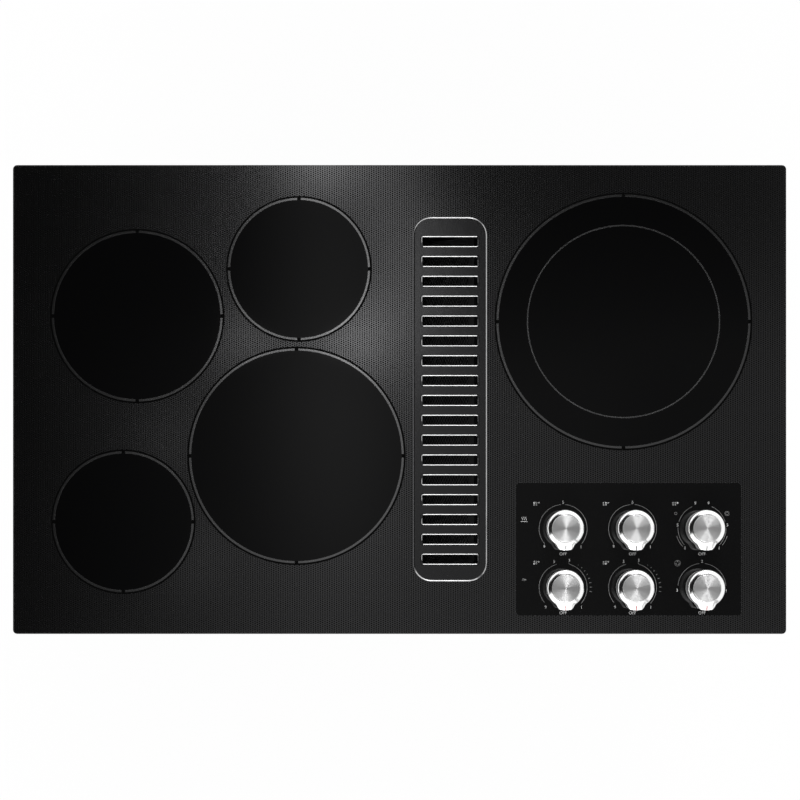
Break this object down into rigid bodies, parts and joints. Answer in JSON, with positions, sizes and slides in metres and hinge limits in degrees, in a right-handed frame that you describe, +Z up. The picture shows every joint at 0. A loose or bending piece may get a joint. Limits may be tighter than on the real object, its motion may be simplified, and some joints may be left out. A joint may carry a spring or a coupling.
{
  "type": "downdraft cooktop",
  "caption": "drop-in electric cooktop with a black ceramic glass top, marked radiant zones, a central downdraft grille with blower below, and metal control knobs",
  "frame": {"origin": "middle of the glass, on the plane of the counter top that the gasket rests on", "axes": "+X to the right, +Y to the rear, +Z up; the knobs are at the front right"},
  "size_m": [0.922, 0.559, 0.4216],
  "materials": {
    "ceramic_glass": "polished black ceramic glass with a fine printed dot pattern",
    "frame_steel": "black painted folded steel",
    "foam_gasket": "closed cell foam strip",
    "grommet_rubber": "soft black silicone",
    "knob_metal": "turned and brushed metal, bright bevels",
    "shaft_steel": "ground steel",
    "cam_plastic": "moulded acetal",
    "switch_plastic": "moulded phenolic case",
    "fan_control_plastic": "moulded case",
    "nut_brass": "turned brass",
    "galvanised_steel": "zinc coated sheet with a faint spangle",
    "lamp_lens": "red translucent lens",
    "pan_steel": "aluminised sheet, spun",
    "ceramic_fibre": "pressed ceramic fibre felt",
    "heating_ribbon": "oxidised resistance ribbon",
    "limiter_ceramic": "white ceramic block and steel rod",
    "spring_steel": "blued spring steel",
    "block_plastic": "black moulded block",
    "wire_sleeve": "braided wires in a sleeve",
    "grille_enamel": "satin black enamel on pressed steel",
    "filter_aluminium": "folded aluminium channel",
    "filter_mesh_aluminium": "layers of expanded aluminium mesh",
    "cup_plastic": "milky moulded plastic",
    "wheel_paint": "black coated pressed steel",
    "motor_paint": "black baked paint",
    "capacitor_can": "drawn aluminium can",
    "zinc_screw": "zinc plated"
  },
  "bodies": {
    "root": {"glass_top": "ceramic_glass", "glass_frame": "frame_steel", "counter_gasket": "foam_gasket", "knob_grommets": "grommet_rubber", "infinite_switches": "switch_plastic", "fan_control": "fan_control_plastic", "switch_nuts": "nut_brass", "switch_bracket": "galvanised_steel", "indicator_lamps": "lamp_lens", "element_pan_left_rear": "pan_steel", "element_pan_centre_rear": "pan_steel", "element_pan_right": "pan_steel", "element_pan_left_front": "pan_steel", "element_pan_centre_front": "pan_steel", "element_insulation_left_rear": "ceramic_fibre", "element_insulation_centre_rear": "ceramic_fibre", "element_insulation_right": "ceramic_fibre", "element_insulation_left_front": "ceramic_fibre", "element_insulation_centre_front": "ceramic_fibre", "element_coils": "heating_ribbon", "element_limiters": "limiter_ceramic", "element_springs": "spring_steel", "element_rails": "galvanised_steel", "burner_box": "galvanised_steel", "terminal_box": "galvanised_steel", "terminal_cover": "galvanised_steel", "terminal_block": "block_plastic", "wiring_harness": "wire_sleeve", "air_chamber": "galvanised_steel", "blower_housing": "galvanised_steel", "blower_motor": "motor_paint", "motor_capacitor": "capacitor_can", "duct_collar": "galvanised_steel", "clamp_brackets": "galvanised_steel", "screws": "zinc_screw"},
    "cam_of_left_rear": {"cam_left_rear": "cam_plastic"},
    "dial_left_rear": {"knob_left_rear": "knob_metal", "shaft_left_rear": "shaft_steel"},
    "cam_of_centre_rear": {"cam_centre_rear": "cam_plastic"},
    "dial_centre_rear": {"knob_centre_rear": "knob_metal", "shaft_centre_rear": "shaft_steel"},
    "cam_of_right": {"cam_right": "cam_plastic"},
    "dial_right": {"knob_right": "knob_metal", "shaft_right": "shaft_steel"},
    "cam_of_left_front": {"cam_left_front": "cam_plastic"},
    "dial_left_front": {"knob_left_front": "knob_metal", "shaft_left_front": "shaft_steel"},
    "cam_of_centre_front": {"cam_centre_front": "cam_plastic"},
    "dial_centre_front": {"knob_centre_front": "knob_metal", "shaft_centre_front": "shaft_steel"},
    "dial_fan": {"knob_fan": "knob_metal", "shaft_fan": "shaft_steel"},
    "grille": {"vent_grille": "grille_enamel"},
    "filter": {"filter_frame": "filter_aluminium", "filter_mesh": "filter_mesh_aluminium"},
    "blower_rotor": {"blower_wheel": "wheel_paint", "motor_rotor": "shaft_steel"},
    "drain_container": {"drain_cup": "cup_plastic"},
    "left_clamp_screw": {"clamp_screw_left": "zinc_screw"},
    "right_clamp_screw": {"clamp_screw_right": "zinc_screw"}
  },
  "joints": [
    {"name": "turn_left_rear", "type": "hinge", "parent": "root", "child": "cam_of_left_rear", "pos_m": [0.195, -0.1538, 0.007], "axis": [0, 0, 1], "continuous": true},
    {"name": "push_left_rear", "type": "slide", "parent": "cam_of_left_rear", "child": "dial_left_rear", "axis": [0, 0, -1], "range_m": [0, 0.003], "stiffness_N_per_m": 800, "springref_m": -0.004},
    {"name": "turn_centre_rear", "type": "hinge", "parent": "root", "child": "cam_of_centre_rear", "pos_m": [0.2778, -0.1538, 0.007], "axis": [0, 0, 1], "continuous": true},
    {"name": "push_centre_rear", "type": "slide", "parent": "cam_of_centre_rear", "child": "dial_centre_rear", "axis": [0, 0, -1], "range_m": [0, 0.003], "stiffness_N_per_m": 800, "springref_m": -0.004},
    {"name": "turn_right", "type": "hinge", "parent": "root", "child": "cam_of_right", "pos_m": [0.3606, -0.1538, 0.007], "axis": [0, 0, 1], "range_deg": [-160, 160]},
    {"name": "push_right", "type": "slide", "parent": "cam_of_right", "child": "dial_right", "axis": [0, 0, -1], "range_m": [0, 0.003], "stiffness_N_per_m": 800, "springref_m": -0.004},
    {"name": "turn_left_front", "type": "hinge", "parent": "root", "child": "cam_of_left_front", "pos_m": [0.195, -0.2241, 0.007], "axis": [0, 0, 1], "continuous": true},
    {"name": "push_left_front", "type": "slide", "parent": "cam_of_left_front", "child": "dial_left_front", "axis": [0, 0, -1], "range_m": [0, 0.003], "stiffness_N_per_m": 800, "springref_m": -0.004},
    {"name": "turn_centre_front", "type": "hinge", "parent": "root", "child": "cam_of_centre_front", "pos_m": [0.2778, -0.2241, 0.007], "axis": [0, 0, 1], "continuous": true},
    {"name": "push_centre_front", "type": "slide", "parent": "cam_of_centre_front", "child": "dial_centre_front", "axis": [0, 0, -1], "range_m": [0, 0.003], "stiffness_N_per_m": 800, "springref_m": -0.004},
    {"name": "turn_fan", "type": "hinge", "parent": "root", "child": "dial_fan", "pos_m": [0.3606, -0.2241, 0.007], "axis": [0, 0, 1], "range_deg": [-270, 0]},
    {"name": "grille_lift", "type": "slide", "parent": "root", "child": "grille", "axis": [0, 0, 1], "range_m": [0, 0.16]},
    {"name": "filter_lift", "type": "slide", "parent": "root", "child": "filter", "axis": [0, 0, 1], "range_m": [0, 0.128]},
    {"name": "wheel_spin", "type": "hinge", "parent": "root", "child": "blower_rotor", "pos_m": [-0.026, 0, -0.215], "axis": [1, 0, 0], "continuous": true},
    {"name": "cup_unscrew", "type": "slide", "parent": "root", "child": "drain_container", "axis": [0, 0, -1], "range_m": [0, 0.06]},
    {"name": "clamp_left", "type": "slide", "parent": "root", "child": "left_clamp_screw", "axis": [0, 0, 1], "range_m": [-0.014, 0.016]},
    {"name": "clamp_right", "type": "slide", "parent": "root", "child": "right_clamp_screw", "axis": [0, 0, 1], "range_m": [-0.014, 0.016]}
  ],
  "couplings": [
    {"joint": "filter_lift", "follows": "grille_lift", "ratio": 0.8}
  ]
}
